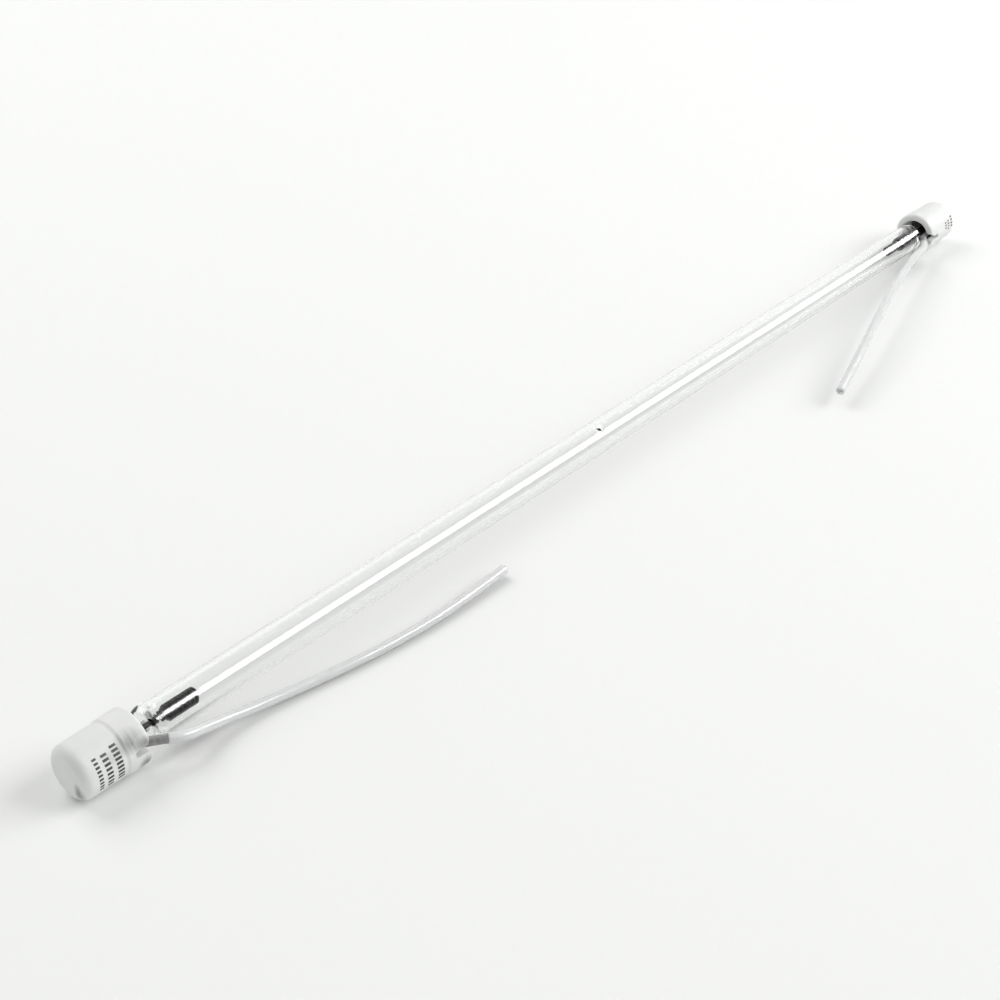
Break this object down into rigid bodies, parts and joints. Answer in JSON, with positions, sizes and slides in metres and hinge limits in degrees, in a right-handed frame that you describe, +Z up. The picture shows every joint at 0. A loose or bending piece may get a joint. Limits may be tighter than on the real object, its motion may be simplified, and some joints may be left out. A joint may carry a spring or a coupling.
{
  "type": "stroboscope flash tube",
  "caption": "Linear flash tube for a stroboscope: clear quartz tube with a tungsten electrode at each end, slotted ceramic end cups and a flexible insulated lead out of each cup.",
  "frame": {"origin": "on the surface that the lamp lies on, under the middle of its length", "axes": "+X along the lamp from the cathode end to the anode end, +Y away from the side that the leads leave, +Z up"},
  "size_m": [0.323, 0.0381, 0.012],
  "materials": {
    "quartz": "clear, fire-polished",
    "ceramic": "smooth, slightly glossy",
    "cement": "rough, dark",
    "strip": "plain nickel",
    "tungsten": "dull grey metal",
    "insulation": "translucent, milky",
    "conductor": "tinned wire"
  },
  "bodies": {
    "root": {"quartz_envelope": "quartz", "near_end_cup": "ceramic", "far_end_cup": "ceramic", "near_cup_cement": "cement", "far_cup_cement": "cement", "near_terminal_strip": "strip", "far_terminal_strip": "strip", "cathode_rod": "tungsten", "cathode_emitter": "tungsten", "cathode_coil": "tungsten", "cathode_rear_coil": "tungsten", "anode_rod": "tungsten", "anode_head": "tungsten", "near_lead_insulation": "insulation", "far_lead_insulation": "insulation", "near_lead_conductor": "conductor", "far_lead_conductor": "conductor"}
  },
  "joints": []
}
